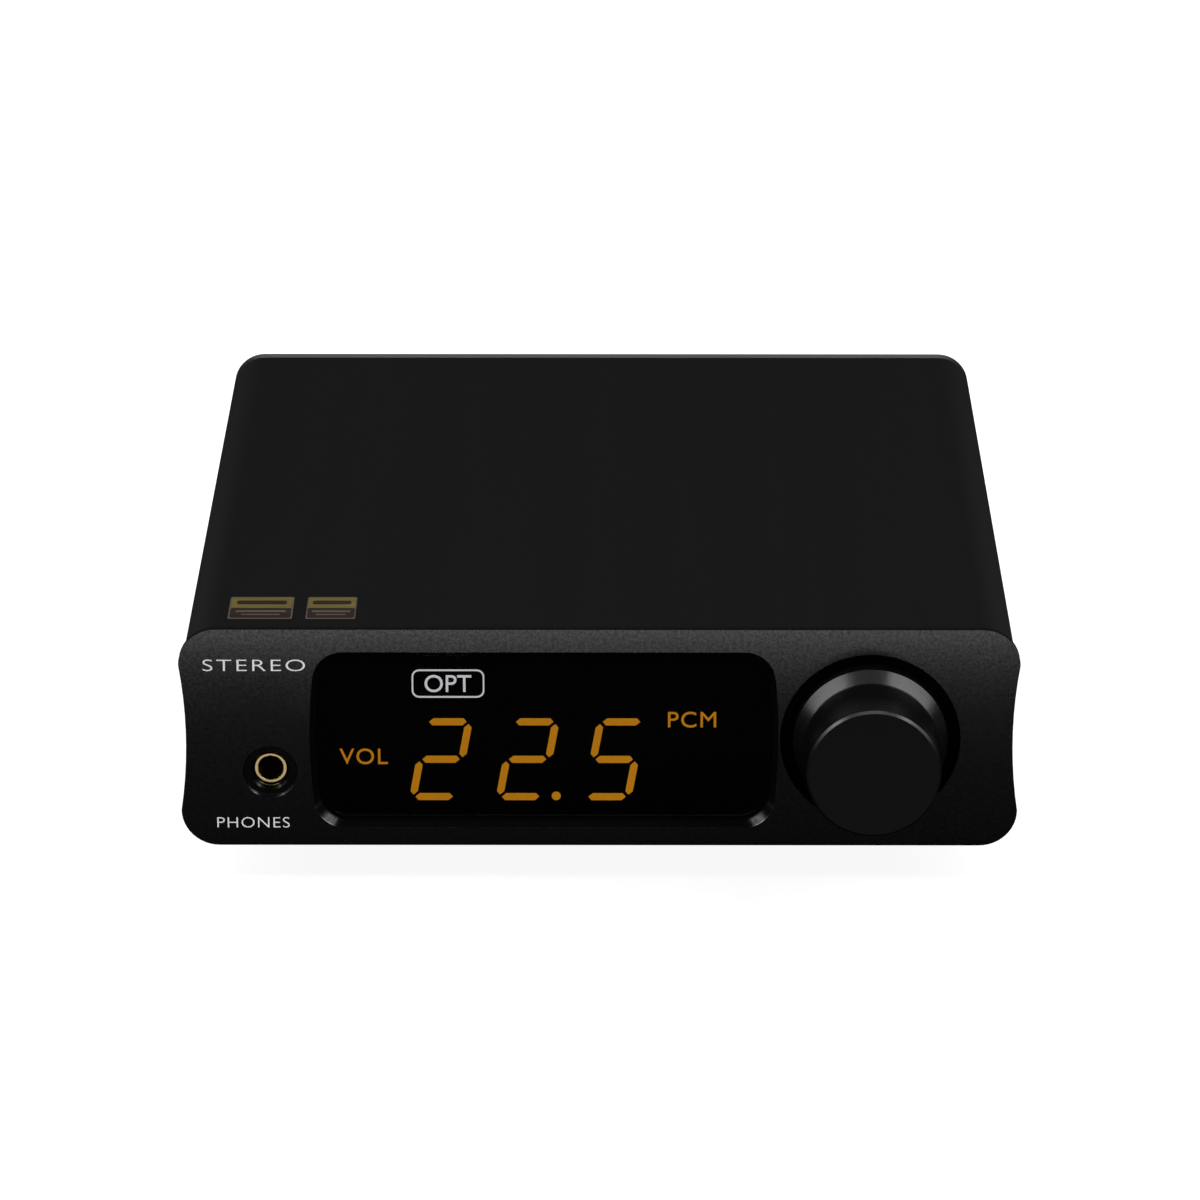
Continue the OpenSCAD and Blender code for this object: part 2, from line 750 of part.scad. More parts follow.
// The thin coaxial lead from the wireless module to the antenna socket
module antenna_lead() {
    lead_r = 0.6;
    top = socket_z;
    start_y = 109;
    color("#202020") at_front() translate([antenna_x, 0, 0]) {
        translate([0, start_y, board_top + 0.8]) cylinder(r = lead_r, h = top - board_top - 0.8 - 2);
        translate([0, start_y + 2, top - 2]) rotate([90, 0, 90]) rotate([0, 0, 90]) rotate_extrude(angle = 90)
            translate([2, 0]) circle(r = lead_r);
        translate([0, 0, top]) bar_y(lead_r, start_y + 2, case_end - 3);
    }
}

// Smoothing capacitors, standing on the main board
module filter_capacitors() {
    color("#2a2c44") at_front() for (x = [30, 41], y = [62, 74, 86]) translate([x, y, board_top]) {
        cylinder(r = 4.2, h = 12);
        translate([0, 0, 12]) cylinder(r1 = 4.2, r2 = 3.8, h = 0.5);
    }
}

// The converter, the receiver and the amplifier circuits, flat on the main board
module circuit_chips() {
    color("#17181a") at_front() for (c = [[-36, 40, 7, 7], [-14, 46, 10, 10], [8, 50, 9, 9], [-36, 62, 5, 6],
                                          [-22, 66, 5, 6], [4, 76, 12, 12], [-40, 84, 5, 6]])
        translate([c[0], c[1], board_top]) cube([c[2], c[3], 1]);
}

// A thin foil label on the sleeve's top
module label(x0, x1) {
    color("#a8873f") at_front() translate([x0, 5.8, case_top]) cube([x1 - x0, 9.1, 0.1]);
}
module label_left() { label(-53.2, -44); }
module label_right() { label(-42.05, -34.95); }

front_panel();
case_shell();
rear_panel();
rear_panel_screws();
front_panel_screws();
foot_front_left();
foot_front_right();
foot_rear_left();
foot_rear_right();
display_window();
window_tape();
display_module();
display_digits();
input_legend();
volume_legend();
format_legend();
front_board();
ir_receiver();
ribbon_sockets();
ribbon_cable();
main_board();
volume_knob();
knob_set_screw();
encoder_shaft();
encoder_body();
encoder_nut();
encoder_washer();
encoder_plunger();
encoder_rotor();
headphone_jack_ring();
headphone_jack_body();
headphone_jack_contacts();
rca_left_shell();
rca_left_insulator();
rca_left_contact();
rca_right_shell();
rca_right_insulator();
rca_right_contact();
coax_shell();
coax_insulator();
coax_contact();
socket_nuts();
optical_port();
optical_shutter();
shutter_pin();
shutter_spring();
usb_port_shell();
usb_port_tongue();
dc_inlet();
dc_inlet_pin();
power_switch_body();
power_rocker();
antenna_socket();
antenna_nut();
bluetooth_module();
antenna_lead();
filter_capacitors();
circuit_chips();
label_left();
label_right();
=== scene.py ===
"""Looks of a desktop digital-to-analogue converter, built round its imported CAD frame.

X is to the right, Y to the rear, Z up, in metres. The front panel faces -Y, and z = 0 is the floor.
"""

import json
import math

import bmesh
import bpy
from mathutils import Matrix, Vector


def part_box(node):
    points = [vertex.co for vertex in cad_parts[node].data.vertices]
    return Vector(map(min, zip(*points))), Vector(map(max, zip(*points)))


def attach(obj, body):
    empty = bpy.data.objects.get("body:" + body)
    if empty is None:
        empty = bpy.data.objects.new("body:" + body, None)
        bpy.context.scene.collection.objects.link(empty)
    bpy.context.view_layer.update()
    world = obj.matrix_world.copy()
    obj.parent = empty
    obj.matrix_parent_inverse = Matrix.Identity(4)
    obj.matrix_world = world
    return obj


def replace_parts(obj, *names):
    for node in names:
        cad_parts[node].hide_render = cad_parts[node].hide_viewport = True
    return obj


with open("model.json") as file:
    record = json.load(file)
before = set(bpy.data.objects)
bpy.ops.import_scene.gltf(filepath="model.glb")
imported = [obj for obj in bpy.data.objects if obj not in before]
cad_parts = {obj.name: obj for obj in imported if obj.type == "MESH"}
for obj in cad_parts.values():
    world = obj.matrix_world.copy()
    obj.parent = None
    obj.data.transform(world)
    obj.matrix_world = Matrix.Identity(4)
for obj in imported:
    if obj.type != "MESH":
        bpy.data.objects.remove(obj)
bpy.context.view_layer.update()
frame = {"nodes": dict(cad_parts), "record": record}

MM = 0.001
scene = bpy.context.scene
nodes = frame["nodes"]


# ---------------------------------------------------------------- places, all from the frame

def middle(node):
    """The centre of a CAD node's box."""
    lo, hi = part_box(node)
    return (lo + hi) / 2


PANEL_LO, PANEL_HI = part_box("front_panel")
FRONT_Y = PANEL_LO.y
PANEL_TOP = PANEL_HI.z
REAR_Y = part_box("rear_panel")[1].y
KNOB_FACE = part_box("volume_knob")[0].y
KNOB_X, _, KNOB_Z = middle("volume_knob")
RING_X = middle("headphone_jack_ring").x


# ---------------------------------------------------------------- camera

VIEW_DOWN = 20.0          # degrees that the camera looks below level
VIEW_YAW = 0.14           # degrees that it is turned to the left
CAMERA_AHEAD = 0.8156     # in front of the panel's face
CAMERA_ABOVE = 0.3014     # above the panel's top edge
CAMERA_RIGHT = 0.0021
LENS = 183.6              # millimetres, on a sensor 36 mm wide

camera_data = bpy.data.cameras.new("camera")
camera_data.lens = LENS
camera_data.sensor_width = 36
camera_data.clip_start = 0.01
camera_data.clip_end = 100
camera = bpy.data.objects.new("camera", camera_data)
scene.collection.objects.link(camera)
camera.location = (CAMERA_RIGHT, FRONT_Y - CAMERA_AHEAD, PANEL_TOP + CAMERA_ABOVE)
camera.rotation_euler = (math.radians(90 - VIEW_DOWN), 0, math.radians(VIEW_YAW))
scene.camera = camera


# ---------------------------------------------------------------- node helpers

class Shader:
    """A material under construction: its node tree, with short calls that add and link nodes."""

    def __init__(self, name):
        self.material = bpy.data.materials.new(name)
        self.material.use_nodes = True
        self.tree = self.material.node_tree
        self.tree.nodes.clear()
        self.output = self.add("ShaderNodeOutputMaterial")
        self.surface = self.add("ShaderNodeBsdfPrincipled")
        self.tree.links.new(self.surface.outputs[0], self.output.inputs["Surface"])
        self.object_place = self.add("ShaderNodeTexCoord").outputs["Object"]

    def add(self, kind, **settings):
        node = self.tree.nodes.new(kind)
        for key, value in settings.items():
            setattr(node, key, value)
        return node

    def feed(self, node, socket, value):
        """Links value to the socket if it is an output, and otherwise sets it."""
        if isinstance(value, bpy.types.NodeSocket):
            self.tree.links.new(value, node.inputs[socket])
        else:
            node.inputs[socket].default_value = value

    def place(self, stretch=(1, 1, 1), centre=(0, 0, 0)):
        """Object coordinates, moved so that centre is the origin and then stretched."""
        shift = self.add("ShaderNodeVectorMath", operation="SUBTRACT")
        self.feed(shift, 0, self.object_place)
        shift.inputs[1].default_value = centre
        scale = self.add("ShaderNodeVectorMath", operation="MULTIPLY")
        self.feed(scale, 0, shift.outputs[0])
        scale.inputs[1].default_value = stretch
        return scale.outputs[0]

    def noise(self, per_metre, detail=2.0, rough=0.5, place=None):
        node = self.add("ShaderNodeTexNoise")
        self.feed(node, "Vector", place or self.object_place)
        self.feed(node, "Scale", per_metre)
        self.feed(node, "Detail", detail)
        self.feed(node, "Roughness", rough)
        return node.outputs["Fac"]

    def remap(self, value, low, high, to_low, to_high):
        node = self.add("ShaderNodeMapRange")
        self.feed(node, "Value", value)
        limits = {"From Min": low, "From Max": high, "To Min": to_low, "To Max": to_high}
        for socket, number in limits.items():
            node.inputs[socket].default_value = number
        return node.outputs["Result"]

    def spread(self, noise, low, high, half=0.2):
        """A noise, most of which lies within half of 0.5, spread from low to high."""
        return self.remap(noise, 0.5 - half, 0.5 + half, low, high)

    def maths(self, operation, a, b=0.0):
        node = self.add("ShaderNodeMath", operation=operation)
        self.feed(node, 0, a)
        self.feed(node, 1, b)
        return node.outputs[0]

    def times(self, a, b):
        return self.maths("MULTIPLY", a, b)

    def above(self, a, b):
        """1 where a is more than b, and 0 elsewhere."""
        return self.maths("GREATER_THAN", a, b)

    def below(self, a, b):
        """1 where a is less than b, and 0 elsewhere."""
        return self.maths("LESS_THAN", a, b)

    def axes(self, centre):
        """X, Y and Z of the point, from centre."""
        apart = self.add("ShaderNodeSeparateXYZ")
        self.feed(apart, 0, self.place(centre=centre))
        return [apart.outputs[axis] for axis in "XYZ"]

    def off_centre(self, across, up, half_width, half_height):
        """0 in the middle of a rectangle, 1 on its edges, and more outside it."""
        return self.maths("MAXIMUM", self.times(self.maths("ABSOLUTE", across), 1 / half_width),
                          self.times(self.maths("ABSOLUTE", up), 1 / half_height))

    def blend(self, factor, a, b):
        """A colour between a and b."""
        node = self.add("ShaderNodeMix", data_type="RGBA")
        self.feed(node, 0, factor)
        self.feed(node, 6, a)
        self.feed(node, 7, b)
        return node.outputs[2]

    def edges(self, radius):
        """1 on sharp outer edges, falling to 0 on flat faces."""
        soft = self.add("ShaderNodeBevel", samples=4)
        soft.inputs["Radius"].default_value = radius
        true = self.add("ShaderNodeNewGeometry")
        dot = self.add("ShaderNodeVectorMath", operation="DOT_PRODUCT")
        self.feed(dot, 0, soft.outputs[0])
        self.feed(dot, 1, true.outputs["Normal"])
        return self.remap(dot.outputs["Value"], 0.995, 0.82, 0.0, 1.0)

    def bump(self, height, strength, distance):
        node = self.add("ShaderNodeBump")
        self.feed(node, "Height", height)
        self.feed(node, "Strength", strength)
        self.feed(node, "Distance", distance)
        return node.outputs[0]

    def set(self, **values):
        """Feeds the surface's sockets: Base_Color stands for Base Color."""
        for key, value in values.items():
            self.feed(self.surface, key.replace("_", " "), value)


def tinted(colour, gain):
    """The colour times gain, with an alpha of 1."""
    return tuple(min(1.0, c * gain) for c in colour[:3]) + (1.0,)


def finish_of(name, colour, rough, metal=0.0, specular=0.5, grain=2500, grain_depth=0.00002,
              grain_strength=0.2, tone=60, tone_amount=0.12, rough_amount=0.06, stretch=(1, 1, 1),
              wear=0.0, wear_gain=2.5, wear_radius=0.00025):
    """A solid material: colour that drifts, roughness that varies, a grain in relief, and paler worn edges.

    tone and grain are the noises' scales per metre.
    """
    s = Shader(name)
    place = s.place(stretch)
    drift = s.noise(tone, detail=3.0, place=place)
    fine = s.noise(grain, detail=2.0, place=place)
    smears = s.noise(tone * 2.3, detail=4.0, place=place)
    base = s.blend(s.spread(drift, 0, 1), tinted(colour, 1 - tone_amount), tinted(colour, 1 + tone_amount))
    base = s.blend(s.spread(fine, 0, 0.5, half=0.15), base, tinted(colour, 1 + 2 * tone_amount))
    if wear:
        patchy = s.spread(s.noise(400, detail=3.0), 0.3, 1.0, half=0.15)
        worn = s.times(s.edges(wear_radius), patchy)
        base = s.blend(s.times(worn, wear), base, tinted(colour, wear_gain))
    s.set(Base_Color=base, Roughness=s.spread(smears, rough - rough_amount, rough + rough_amount),
          Normal=s.bump(fine, grain_strength, grain_depth))
    s.surface.inputs["Metallic"].default_value = metal
    s.surface.inputs["Specular IOR Level"].default_value = specular
    return s


# ---------------------------------------------------------------- materials

WELL_REACH = 13.2 * MM             # a little more than the radius of the knob's well
WELL_DEPTH = 0.25 * MM             # behind the panel's face, where the well's painted shade (a lowered specular level) starts
POCKET_HALF_WIDTH = 57 * MM        # a rectangle that leaves out only the panel's outer edges
POCKET_HALF_HEIGHT = 15.2 * MM
POCKET_DEPTH = 0.07 * MM           # behind the panel's face, where the pockets' painted shade (a lowered specular level) starts
POCKET_FOOT = (0.65 * MM, 0.85 * MM)    # where the recess's chamfer comes down to the window
KNOB_SIDE = (9.40 * MM, 9.62 * MM)      # radii on either side of the knob's round side
KNOB_RIM = 0.35 * MM               # behind the knob's face, where its side starts
BORDER_HALF_WIDTH = 31.0 * MM      # the clear part of the window
BORDER_HALF_HEIGHT = 11.2 * MM
BORDER_DEPTH = -0.5 * MM           # from the window's middle, so that its face stays clear over the border


def from_knob_axis(s):
    """(distance from the knob's axis, X, Y, Z) at a point of a shader, with X and Z from that axis."""
    x, y, z = s.axes((KNOB_X, 0, KNOB_Z))
    return s.maths("SQRT", s.maths("ADD", s.times(x, x), s.times(z, z))), x, y, z


def blasted_aluminium():
    """Black anodising over a bead-blasted face: a fine, even grain. Its well and pockets carry painted
    shade: their specular level is lowered.
    """
    s = finish_of("blasted_aluminium", (0.0012, 0.0012, 0.0013), 0.182, grain=3600, grain_depth=0.00001,
                  tone=45, tone_amount=0.08, rough_amount=0.01, wear=0.5, wear_gain=4.0, wear_radius=0.0001)
    speckle = s.spread(s.noise(1900, detail=3.0, rough=0.8), 0.30, 0.70, half=0.15)
    radius, across, depth, up = from_knob_axis(s)
    # Painted shade: the specular level is lowered in the well and the pockets, and nearly taken away high
    # up and deep in the pockets.
    shaded_well = s.times(s.below(radius, WELL_REACH), s.above(depth, FRONT_Y + WELL_DEPTH))
    off_centre = s.off_centre(s.maths("ADD", across, KNOB_X), up, POCKET_HALF_WIDTH, POCKET_HALF_HEIGHT)
    shaded_pocket = s.times(s.below(off_centre, 1.0), s.above(depth, FRONT_Y + POCKET_DEPTH))
    shade_high_up = s.remap(up, 5 * MM, 10 * MM, 0.65, 0.98)
    shade_deep_in = s.remap(depth, FRONT_Y + POCKET_FOOT[0], FRONT_Y + POCKET_FOOT[1], 0.65, 0.96)
    pocket_shade = s.times(shaded_pocket, s.maths("MAXIMUM", shade_high_up, shade_deep_in))
    left = s.times(s.maths("SUBTRACT", 1.0, pocket_shade), s.remap(shaded_well, 0, 1, 1, 0.4))
    s.feed(s.surface, "Specular IOR Level", s.times(speckle, left))
    return s.material


def drawn_aluminium():
    """Satin black anodising on an extrusion, with faint lines along its length."""
    return finish_of("drawn_aluminium", (0.0016, 0.0016, 0.0017), 0.38, specular=0.45, grain=3000,
                     grain_depth=0.00001, tone=40, tone_amount=0.10, rough_amount=0.010,
                     stretch=(1, 0.05, 1), wear=0.4, wear_gain=3.0, wear_radius=0.0002).material


def turned_aluminium():
    """The knob: black anodising with lathe lines round its axis, and painted shade on its round side, whose
    specular level is lowered.
    """
    s = finish_of("turned_aluminium", (0.0018, 0.0018, 0.0019), 0.26, grain=3000, tone=80, tone_amount=0.06,
                  rough_amount=0.02, wear=0.8, wear_gain=6.0, wear_radius=0.0002)
    radius, _, depth, _ = from_knob_axis(s)
    # Painted shade: the knob's round side gets a specular level of 0.12 in place of 0.5.
    shaded_side = s.times(s.above(radius, KNOB_SIDE[0]), s.below(radius, KNOB_SIDE[1]))
    shaded_side = s.times(shaded_side, s.above(depth, KNOB_FACE + KNOB_RIM))
    s.feed(s.surface, "Specular IOR Level", s.remap(shaded_side, 0, 1, 0.5, 0.12))
    lines = s.add("ShaderNodeTexNoise", noise_dimensions="1D")
    s.feed(lines, "W", s.maths("ADD", radius, depth))
    s.feed(lines, "Scale", 5200)
    s.feed(lines, "Detail", 2.0)
    s.set(Normal=s.bump(lines.outputs["Fac"], 0.25, 0.000012))
    return s.material


def smoked_acrylic():
    """The window: dark, glossy and clear enough for lit segments, with a black border round it."""
    s = Shader("smoked_acrylic")
    haze = s.spread(s.noise(30, detail=3.0), 0, 1)
    tint = s.blend(haze, (0.095, 0.095, 0.097, 1), (0.105, 0.105, 0.107, 1))
    across, depth, up = s.axes(middle("display_window"))
    off_centre = s.off_centre(across, up, BORDER_HALF_WIDTH, BORDER_HALF_HEIGHT)
    border = s.times(s.above(off_centre, 1.0), s.above(depth, BORDER_DEPTH))
    s.set(Base_Color=s.blend(border, tint, (0.001, 0.001, 0.001, 1)),
          Roughness=s.spread(s.noise(90, detail=4.0), 0.0, 0.012),
          Transmission_Weight=s.remap(border, 0, 1, 1, 0),
          Normal=s.bump(s.noise(25, detail=1.0), 0.03, 0.00002))
    s.surface.inputs["IOR"].default_value = 1.49
    return s.material


def lit(name, colour, strength):
    """A lit segment: a steady glow with the slight mottling of a diffuser."""
    s = Shader(name)
    mottle = s.noise(900, detail=2.0)
    glow = s.blend(s.spread(mottle, 0, 1), tinted(colour, 0.94), tinted(colour, 1.0))
    s.set(Base_Color=glow, Roughness=s.spread(mottle, 0.45, 0.6), Emission_Color=glow,
          Normal=s.bump(mottle, 0.1, 0.00001))
    s.surface.inputs["Emission Strength"].default_value = strength
    return s.material


def plated(name, colour, rough):
    """Bright plating with smudges in its roughness."""
    return finish_of(name, colour, rough, metal=1.0, grain=1800, grain_depth=0.000006, grain_strength=0.15,
                     tone=150, tone_amount=0.05, rough_amount=0.05, wear=0.3, wear_gain=1.15).material


def moulded(name, colour, rough=0.5, specular=0.45, wear=0.25):
    """Moulded plastic with a fine spark-eroded texture."""
    return finish_of(name, colour, rough, specular=specular, grain=5200, grain_strength=0.22, tone=220,
                     tone_amount=0.08, rough_amount=0.07, wear=wear, wear_gain=2.2).material


def circuit_green():
    """Solder resist over copper: lighter tracks run under a semi-gloss green."""
    s = Shader("circuit_green")
    tracks = s.add("ShaderNodeTexBrick")
    s.feed(tracks, "Vector", s.place())
    s.feed(tracks, "Scale", 180.0)
    s.feed(tracks, "Color1", (0.010, 0.060, 0.028, 1))
    s.feed(tracks, "Color2", (0.014, 0.075, 0.034, 1))
    s.feed(tracks, "Mortar", (0.028, 0.125, 0.060, 1))
    s.set(Base_Color=tracks.outputs["Color"], Roughness=s.spread(s.noise(300), 0.28, 0.42),
          Normal=s.bump(tracks.outputs["Fac"], 0.2, 0.00003))
    return s.material


def printed_ink(name, colour):
    """Screen-printed ink, slightly uneven."""
    return finish_of(name, colour, 0.5, specular=0.3, grain=7000, grain_depth=0.000006, tone=900,
                     tone_amount=0.06, rough_amount=0.08).material


def foil(name, colour, rough=0.35):
    """Printed metallic foil with a brushed sheen."""
    return finish_of(name, colour, rough, metal=0.3, grain=2200, grain_depth=0.000008, grain_strength=0.25,
                     tone=260, tone_amount=0.22, rough_amount=0.08, stretch=(0.08, 1, 1)).material


PANEL = blasted_aluminium()
CASE = drawn_aluminium()
KNOB = turned_aluminium()
WINDOW = smoked_acrylic()
AMBER = lit("amber_glow", (1.0, 0.40, 0.015), 4.0)
WHITE_GLOW = lit("white_glow", (0.92, 0.93, 0.95), 5.6)
GOLD = plated("gold_plating", (0.83, 0.60, 0.28), 0.17)
NICKEL = plated("nickel_plating", (0.56, 0.55, 0.53), 0.22)
BLACK_OXIDE = finish_of("black_oxide", (0.02, 0.02, 0.021), 0.32, metal=0.6, grain=2600, tone=300,
                        wear=0.7, wear_gain=5.0).material
RUBBER = finish_of("foot_rubber", (0.014, 0.014, 0.014), 0.72, specular=0.3, grain=3200,
                   grain_depth=0.00004, grain_strength=0.4, tone=180, tone_amount=0.15).material
BLACK_PLASTIC = moulded("black_plastic", (0.013, 0.013, 0.014))
DISPLAY_BLACK = moulded("display_black", (0.0015, 0.0015, 0.0015), 0.85, specular=0.08, wear=0)
TAPE = moulded("black_tape", (0.004, 0.004, 0.004), 0.8, specular=0.1, wear=0)
WHITE_PLASTIC = moulded("white_plastic", (0.74, 0.73, 0.69), 0.35)
RED_PLASTIC = moulded("red_plastic", (0.46, 0.022, 0.016), 0.35)
NATURAL_PLASTIC = moulded("natural_plastic", (0.62, 0.57, 0.45), 0.45)
SLEEVE_FILM = moulded("sleeve_film", (0.02, 0.024, 0.06), 0.3)
CHIP_RESIN = moulded("chip_resin", (0.012, 0.012, 0.013), 0.6)
RIBBON_FILM = moulded("ribbon_film", (0.55, 0.60, 0.64), 0.3)
BOARD = circuit_green()
PANEL_INK = printed_ink("panel_ink", (0.75, 0.75, 0.75))
REAR_INK = printed_ink("rear_ink", (0.55, 0.55, 0.55))
FOIL_EDGE = foil("foil_edge", (0.125, 0.105, 0.082))
FOIL_GOLD = foil("foil_gold", (0.175, 0.140, 0.040))
FOIL_BROWN = foil("foil_brown", (0.026, 0.016, 0.012), 0.45)

SLOT_MATERIALS = {
    "panel_anodised": PANEL, "case_anodised": CASE, "knob_anodised": KNOB, "black_screws": BLACK_OXIDE,
    "foot_rubber": RUBBER, "window_acrylic": WINDOW, "black_tape": TAPE, "display_black": DISPLAY_BLACK,
    "amber_light": AMBER, "white_light": WHITE_GLOW, "circuit_board": BOARD, "ribbon_film": RIBBON_FILM,
    "natural_plastic": NATURAL_PLASTIC, "black_plastic": BLACK_PLASTIC, "white_plastic": WHITE_PLASTIC,
    "red_plastic": RED_PLASTIC, "nickel": NICKEL, "gold_plate": GOLD, "capacitor_sleeve": SLEEVE_FILM,
    "chip_resin": CHIP_RESIN, "foil_label": FOIL_GOLD,
}

for part in frame["record"]["subparts"]:
    for slot in nodes[part["node"]].material_slots:
        slot.material = SLOT_MATERIALS[part["material_slot"]]


# ---------------------------------------------------------------- softened edges on the CAD solids

SHARP_ANGLE = math.radians(28)


def welding_group():
    """Geometry nodes that join a CAD mesh's split vertices and shade it smooth between its sharp edges."""
    group = bpy.data.node_groups.new("weld_and_shade", "GeometryNodeTree")
    group.interface.new_socket("Geometry", in_out="INPUT", socket_type="NodeSocketGeometry")
    group.interface.new_socket("Geometry", in_out="OUTPUT", socket_type="NodeSocketGeometry")
    source = group.nodes.new("NodeGroupInput")
    merge = group.nodes.new("GeometryNodeMergeByDistance")
    merge.inputs["Distance"].default_value = 0.000002
    angle = group.nodes.new("GeometryNodeInputMeshEdgeAngle")
    sharp = group.nodes.new("FunctionNodeCompare")
    sharp.operation = "GREATER_THAN"
    sharp.inputs["B"].default_value = SHARP_ANGLE
    shade = group.nodes.new("GeometryNodeSetMeshNormal")
    shade.mode = "SHARPNESS"
    shade.inputs["Remove Custom"].default_value = True
    shade.inputs["Face Sharpness"].default_value = False
    result = group.nodes.new("NodeGroupOutput")
    group.links.new(source.outputs[0], merge.inputs["Geometry"])
    group.links.new(angle.outputs["Unsigned Angle"], sharp.inputs["A"])
    group.links.new(sharp.outputs[0], shade.inputs["Edge Sharpness"])
    group.links.new(merge.outputs[0], shade.inputs["Mesh"])
    group.links.new(shade.outputs[0], result.inputs[0])
    return group


def soften(node, width):
    """Rounds a CAD node's sharp edges a little, so that they catch the light."""
    mesh_object = nodes[node]
    mesh_object.modifiers.new("weld", "NODES").node_group = WELDING
    flat = mesh_object.modifiers.new("merge_flats", "DECIMATE")
    flat.decimate_type = "DISSOLVE"
    flat.angle_limit = math.radians(0.4)
    bevel = mesh_object.modifiers.new("soft_edges", "BEVEL")
    bevel.width = width
    bevel.segments = 2
    bevel.limit_method = "ANGLE"
    bevel.angle_limit = SHARP_ANGLE
    bevel.use_clamp_overlap = True
    shading = mesh_object.modifiers.new("even_shading", "WEIGHTED_NORMAL")
    shading.weight = 80
    shading.keep_sharp = True


WELDING = welding_group()

EDGE_WIDTHS = {
    "front_panel": 0.12, "case_shell": 0.12, "rear_panel": 0.15, "volume_knob": 0.22,
    "rear_panel_screws": 0.08, "power_rocker": 0.25, "power_switch_body": 0.2, "dc_inlet": 0.15,
    "optical_port": 0.15, "optical_shutter": 0.1, "usb_port_shell": 0.06, "antenna_nut": 0.12,
    "headphone_jack_ring": 0.12,
}
for socket_name in ("rca_left", "rca_right", "coax"):
    EDGE_WIDTHS[socket_name + "_shell"] = 0.15
    EDGE_WIDTHS[socket_name + "_insulator"] = 0.1
for corner in ("front_left", "front_right", "rear_left", "rear_right"):
    EDGE_WIDTHS["foot_" + corner] = 0.5
for node_name, width_mm in EDGE_WIDTHS.items():
    soften(node_name, width_mm * MM)


# ---------------------------------------------------------------- new pieces

FACE_FRONT = Matrix.Rotation(math.radians(90), 4, "X")
FACE_REAR = Matrix.Rotation(math.radians(180), 4, "Z") @ FACE_FRONT


def place_piece(name, mesh, material):
    """Puts a mesh in the scene as a piece of the object's fixed part."""
    mesh.materials.clear()
    mesh.materials.append(material)
    piece = bpy.data.objects.new(name, mesh)
    scene.collection.objects.link(piece)
    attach(piece, "chassis")
    return piece


def letters(name, text, height, width=None, depth=0.02 * MM, weight=0.0, spacing=1.0):
    """Lettering as a mesh, centred on the origin, facing +Z, scaled to its height and width."""
    curve = bpy.data.curves.new(name, "FONT")
    curve.body = text
    curve.align_x = "CENTER"
    curve.extrude = 0.5
    curve.offset = weight
    curve.space_character = spacing
    curve.resolution_u = 6
    holder = bpy.data.objects.new(name, curve)
    scene.collection.objects.link(holder)
    bpy.context.view_layer.update()
    mesh = bpy.data.meshes.new_from_object(holder.evaluated_get(bpy.context.evaluated_depsgraph_get()))
    bpy.data.objects.remove(holder)
    bpy.data.curves.remove(curve)
    low = Vector([min(v.co[i] for v in mesh.vertices) for i in range(3)])
    high = Vector([max(v.co[i] for v in mesh.vertices) for i in range(3)])
    size = high - low
    scale_y = height / size.y
    scale_x = width / size.x if width else scale_y
    mesh.transform(Matrix.Translation(-(low + high) / 2))
    mesh.transform(Matrix.Diagonal((scale_x, scale_y, depth / size.z, 1)))
    return mesh


def lettering(name, text, centre, facing, height, material, slot, **style):
    """A line of lettering that lies on a face of the chassis."""
    mesh = letters(name, text, height, **style)
    mesh.transform(Matrix.Translation(centre) @ facing)
    return place_piece(name, mesh, material)


def rounded_outline(width, height, radius, steps=8):
    """The corner points of a rounded rectangle, anticlockwise."""
    points = []
    for i, (sx, sy) in enumerate(((1, 1), (-1, 1), (-1, -1), (1, -1))):
        for k in range(steps + 1):
            a = math.radians(90 * (i + k / steps))
            points.append((sx * (width / 2 - radius) + radius * math.cos(a),
                           sy * (height / 2 - radius) + radius * math.sin(a)))
    return points


def plate(name, outline, z0, z1, hole=None):
    """A flat plate between z0 and z1, with an optional hole of as many points."""
    bm = bmesh.new()
    rings = []
    for loop in (outline, hole) if hole else (outline,):
        low = [bm.verts.new((x, y, z0)) for x, y in loop]
        high = [bm.verts.new((x, y, z1)) for x, y in loop]
        rings.append((low, high))
    n = len(outline)
    for j, (low, high) in enumerate(rings):
        for i in range(n):
            k = (i + 1) % n
            quad = (low[i], low[k], high[k], high[i])
            bm.faces.new(quad if j == 0 else quad[::-1])
    if hole:
        (lo_out, hi_out), (lo_in, hi_in) = rings
        for i in range(n):
            k = (i + 1) % n
            bm.faces.new((hi_out[i], hi_out[k], hi_in[k], hi_in[i]))
            bm.faces.new((lo_out[k], lo_out[i], lo_in[i], lo_in[k]))
    else:
        bm.faces.new(rings[0][1])
        bm.faces.new(rings[0][0][::-1])
    mesh = bpy.data.meshes.new(name)
    bm.to_mesh(mesh)
    bm.free()
    return mesh


def joined(name, meshes):
    """Several meshes as one."""
    bm = bmesh.new()
    for mesh in meshes:
        bm.from_mesh(mesh)
        bpy.data.meshes.remove(mesh)
    out = bpy.data.meshes.new(name)
    bm.to_mesh(out)
    bm.free()
    return out


